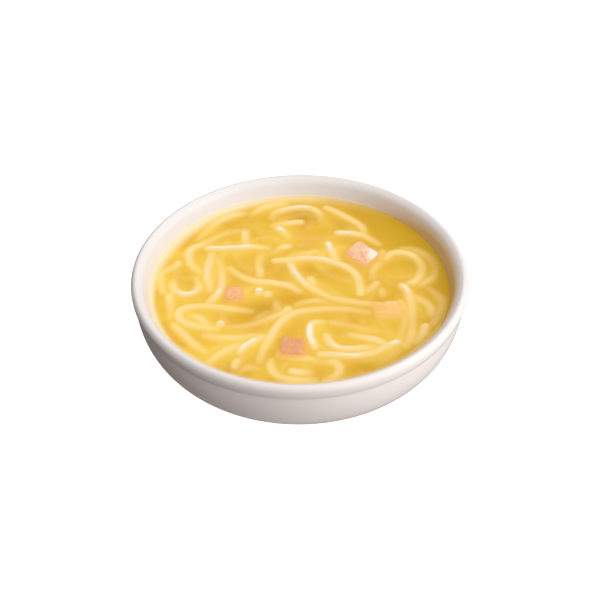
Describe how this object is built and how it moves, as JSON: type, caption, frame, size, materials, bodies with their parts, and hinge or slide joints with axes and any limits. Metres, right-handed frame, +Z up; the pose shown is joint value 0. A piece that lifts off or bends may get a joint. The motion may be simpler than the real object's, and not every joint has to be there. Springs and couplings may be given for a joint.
{
  "type": "bowl of chicken noodle soup",
  "caption": "Round white ceramic soup bowl with a rolled rim, filled with yellow broth, thin noodles and diced chicken.",
  "frame": {"origin": "on the table, under the middle of the bowl", "axes": "+Z up through the middle of the bowl; -Y is the side nearest the camera"},
  "size_m": [0.15, 0.15, 0.037],
  "materials": {
    "glazed_bowl": "glossy off-white glaze",
    "broth": "clear to cloudy golden broth, wet",
    "noodle": "cooked egg noodle, wet",
    "chicken": "cooked diced meat, damp"
  },
  "bodies": {
    "root": {"bowl": "glazed_bowl", "broth": "broth", "noodles": "noodle", "chicken_1": "chicken", "chicken_2": "chicken", "chicken_3": "chicken", "chicken_4": "chicken"}
  },
  "joints": []
}
